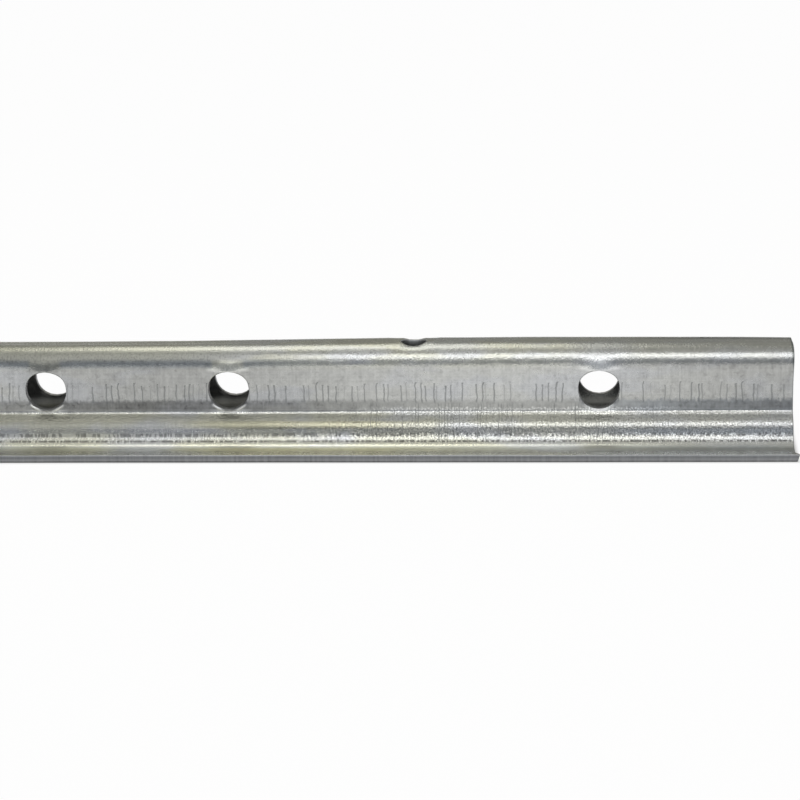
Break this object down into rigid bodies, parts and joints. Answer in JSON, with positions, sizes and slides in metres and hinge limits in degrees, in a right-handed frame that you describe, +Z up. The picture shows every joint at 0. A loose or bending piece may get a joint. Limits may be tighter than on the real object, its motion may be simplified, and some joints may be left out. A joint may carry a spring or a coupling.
{
  "type": "omega bracket",
  "caption": "Galvanised omega bracket, one rolled strip of hat section with upright walls, a stepped flare, flat feet, cross holes through the walls and holes down the crown.",
  "frame": {"origin": "middle of the base outline, on the floor that the feet stand on", "axes": "+X along the bar towards the end in the picture, +Y towards the far foot, +Z up through the crown"},
  "size_m": [1, 0.044, 0.0275],
  "materials": {
    "zinc": "hot-dip galvanised, dull zinc with fine draw marks"
  },
  "bodies": {
    "root": {"bar": "zinc"}
  },
  "joints": []
}
